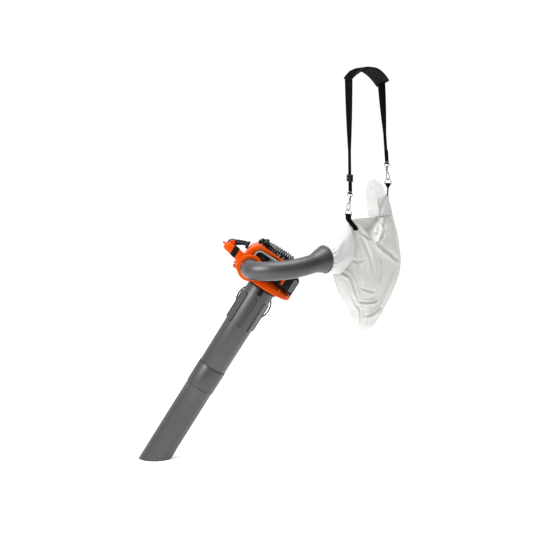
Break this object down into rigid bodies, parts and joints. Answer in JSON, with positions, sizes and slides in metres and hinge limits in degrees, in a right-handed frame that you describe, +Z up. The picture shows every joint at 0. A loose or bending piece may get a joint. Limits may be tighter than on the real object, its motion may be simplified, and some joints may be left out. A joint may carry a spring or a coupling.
{
  "type": "leaf blower vacuum",
  "caption": "Hand-held petrol blower set up as a leaf vacuum: slanted intake tube, fan and engine unit, elbow tube to a cloth bag, padded shoulder strap.",
  "frame": {"origin": "centre of the hand grip", "axes": "+Z up, +X from the grip towards the bag, -Y towards the fan's outlet; the tube's foot is at the bottom"},
  "size_m": [1.1116, 0.4883, 1.6253],
  "materials": {
    "orange_plastic": "moulded, semi-gloss orange",
    "red_plastic": "moulded, semi-gloss red",
    "tube_plastic": "moulded grey, satin",
    "dark_grey_plastic": "moulded dark grey, satin",
    "light_grey_plastic": "moulded light grey, satin",
    "black_plastic": "moulded black, fine grain",
    "soft_rubber": "black, matt",
    "green_plastic": "clear green, soft",
    "steel": "bright steel",
    "aluminium": "as cast",
    "bag_cloth": "off-white woven, translucent",
    "webbing": "black woven webbing",
    "pad_fabric": "black padded, quilted underside"
  },
  "bodies": {
    "machine": {"upper_vacuum_tube": "tube_plastic", "lower_vacuum_tube": "tube_plastic", "inlet_collar": "dark_grey_plastic", "fan_housing_inlet_half": "orange_plastic", "fan_housing_engine_half": "orange_plastic", "outlet_clamp": "orange_plastic", "elbow_tube": "tube_plastic", "crankcase": "aluminium", "cylinder": "aluminium", "spark_plug": "steel", "ignition_coil": "black_plastic", "muffler": "steel", "muffler_guard": "light_grey_plastic", "exhaust_deflector": "black_plastic", "carburettor": "aluminium", "air_filter": "soft_rubber", "air_filter_cover": "black_plastic", "engine_cover": "orange_plastic", "fuel_tank": "black_plastic", "starter_housing": "black_plastic", "recoil_spring": "steel", "handle_front": "orange_plastic", "handle_grip_band": "soft_rubber", "handle_rear_arm": "dark_grey_plastic", "bag": "bag_cloth", "bag_sleeve": "bag_cloth", "front_bag_loop": "webbing", "rear_bag_loop": "webbing", "front_ring": "steel", "rear_ring": "steel", "front_hook": "steel", "rear_hook": "steel", "front_swivel_eye": "steel", "rear_swivel_eye": "steel", "strap_front_leg": "webbing", "strap_rear_leg": "webbing", "shoulder_pad": "pad_fabric"},
    "rotor": {"crankshaft": "steel", "impeller": "black_plastic", "mulching_cutter": "steel", "fan_nut": "steel", "flywheel": "aluminium"},
    "piston_set": {"piston": "aluminium", "connecting_rod": "steel"},
    "starter_drum": {"starter_pulley": "black_plastic"},
    "starter_pull": {"starter_handle": "black_plastic", "starter_rope": "webbing"},
    "throttle": {"throttle_trigger": "black_plastic"},
    "cruise": {"cruise_lever": "red_plastic"},
    "stop": {"stop_switch": "red_plastic"},
    "choke": {"choke_lever": "black_plastic"},
    "primer": {"primer_bulb": "green_plastic"},
    "inlet_grille": {"inlet_door": "dark_grey_plastic"},
    "latch": {"tube_latch": "black_plastic"},
    "clamp_bolt": {"clamp_screw": "steel"},
    "filler_cap": {"fuel_cap": "black_plastic"},
    "front_gate": {"front_hook_gate": "steel"},
    "rear_gate": {"rear_hook_gate": "steel"},
    "adjuster": {"strap_adjuster": "black_plastic"}
  },
  "joints": [
    {"name": "rotor_spin", "type": "hinge", "parent": "machine", "child": "rotor", "pos_m": [0.1844, -0.01, -0.09358], "axis": [0.5284, 0, 0.849], "continuous": true},
    {"name": "piston_stroke", "type": "slide", "parent": "machine", "child": "piston_set", "axis": [0.849, 0, -0.5284], "range_m": [0, 0.027]},
    {"name": "starter_pull_slide", "type": "slide", "parent": "machine", "child": "starter_pull", "axis": [-0.849, 0, 0.5284], "range_m": [0, 0.6], "stiffness_N_per_m": 8, "springref_m": -1},
    {"name": "starter_drum_spin", "type": "hinge", "parent": "machine", "child": "starter_drum", "pos_m": [0.21875, -0.01, -0.03839], "axis": [0.5284, 0, 0.849], "range_deg": [-1290, 0]},
    {"name": "throttle_hinge", "type": "hinge", "parent": "machine", "child": "throttle", "pos_m": [0.00934, 0.034, -0.00581], "axis": [-0.5284, 0, -0.849], "range_deg": [0, 18], "stiffness_Nm_per_rad": 0.15, "springref_deg": -11.46},
    {"name": "cruise_hinge", "type": "hinge", "parent": "machine", "child": "cruise", "pos_m": [0.01034, -0.072, 0.02419], "axis": [0.5284, 0, 0.849], "range_deg": [0, 60]},
    {"name": "stop_rocker", "type": "hinge", "parent": "machine", "child": "stop", "pos_m": [-0.02122, -0.02, 0.01321], "axis": [0, 1, 0], "range_deg": [0, 9], "stiffness_Nm_per_rad": 0.03, "springref_deg": -11.46},
    {"name": "choke_hinge", "type": "hinge", "parent": "machine", "child": "choke", "pos_m": [0.15871, 0.109, -0.07052], "axis": [0, 1, 0], "range_deg": [0, 75]},
    {"name": "primer_press", "type": "slide", "parent": "machine", "child": "primer", "axis": [-0.5284, 0, -0.849], "range_m": [0, 0.004], "stiffness_N_per_m": 400, "springref_m": -0.002},
    {"name": "inlet_grille_hinge", "type": "hinge", "parent": "machine", "child": "inlet_grille", "pos_m": [0.13261, 0.068, -0.17678], "axis": [0.849, 0, -0.5284], "range_deg": [-2, 60]},
    {"name": "latch_hinge", "type": "hinge", "parent": "machine", "child": "latch", "pos_m": [0.12733, -0.083, -0.18527], "axis": [0.849, 0, -0.5284], "range_deg": [0, 12], "stiffness_Nm_per_rad": 0.1, "springref_deg": -11.46},
    {"name": "clamp_bolt_turn", "type": "hinge", "parent": "machine", "child": "clamp_bolt", "pos_m": [0.02514, -0.126, -0.05982], "axis": [-0.274, 0, -0.9617], "range_deg": [-360, 360]},
    {"name": "filler_cap_turn", "type": "hinge", "parent": "machine", "child": "filler_cap", "pos_m": [0.25192, 0.066, -0.14974], "axis": [0, 1, 0], "range_deg": [0, 120]},
    {"name": "front_gate_hinge", "type": "hinge", "parent": "machine", "child": "front_gate", "pos_m": [0.48969, -0.01869, 0.1795], "axis": [0.7071, -0.7071, 0], "range_deg": [0, 22], "stiffness_Nm_per_rad": 0.01, "springref_deg": -17.19},
    {"name": "rear_gate_hinge", "type": "hinge", "parent": "machine", "child": "rear_gate", "pos_m": [0.65997, 0.15158, 0.2925], "axis": [-0.7071, 0.7071, 0], "range_deg": [0, 22], "stiffness_Nm_per_rad": 0.01, "springref_deg": -17.19},
    {"name": "adjuster_slide", "type": "slide", "parent": "machine", "child": "adjuster", "axis": [-0.0256, -0.0256, 0.9993], "range_m": [0, 0.15]}
  ],
  "couplings": [
    {"joint": "starter_drum_spin", "follows": "starter_pull_slide", "rad_per_m": -37.037}
  ]
}
